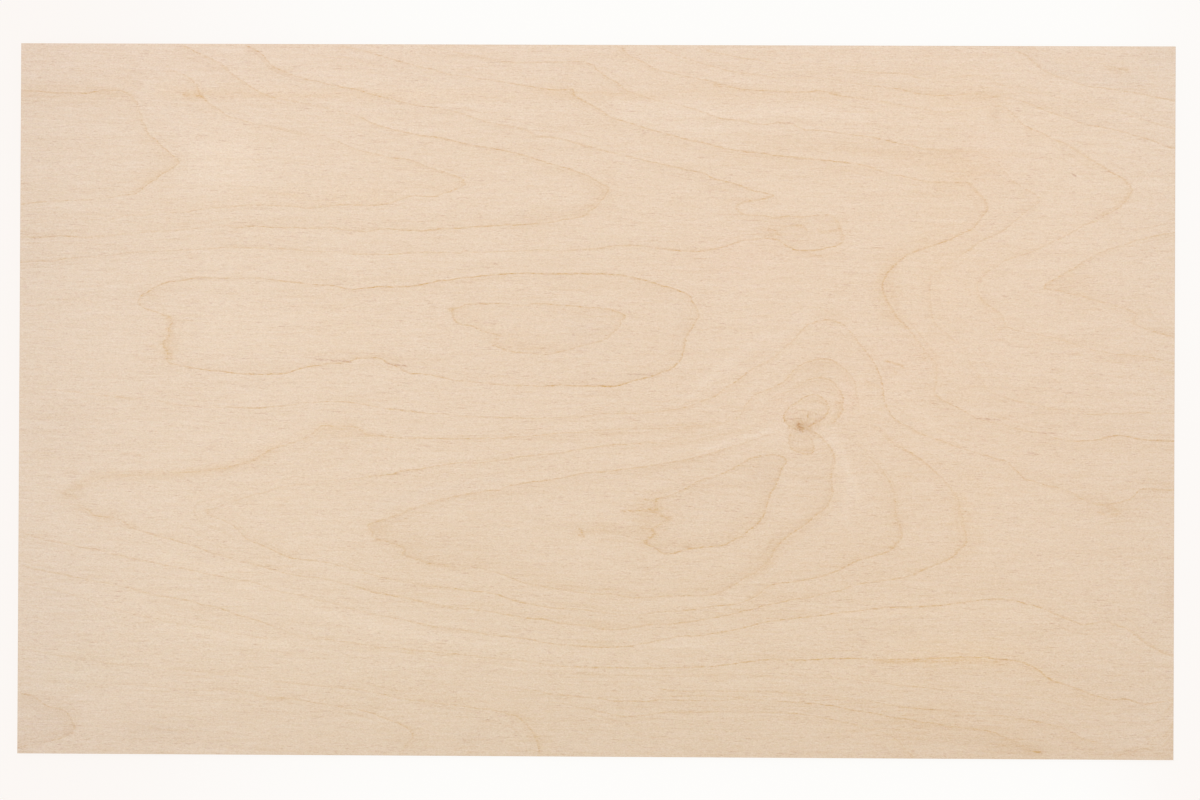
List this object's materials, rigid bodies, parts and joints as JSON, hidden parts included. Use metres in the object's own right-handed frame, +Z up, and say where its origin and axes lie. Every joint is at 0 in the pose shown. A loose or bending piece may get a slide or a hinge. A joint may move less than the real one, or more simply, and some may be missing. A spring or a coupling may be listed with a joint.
{
  "type": "plywood sheet",
  "caption": "Thin flat birch plywood sheet with pale looped grain and a small pin knot on its show face, for cutting, panelling or model making.",
  "frame": {"origin": "middle of the sheet's underside", "axes": "+X along the face grain and the long side, +Y across the grain, +Z up out of the show face"},
  "size_m": [0.495, 0.305, 0.003],
  "materials": {
    "birch_plywood": "bare, fine sanded, matt"
  },
  "bodies": {
    "root": {"plywood_sheet": "birch_plywood"}
  },
  "joints": []
}
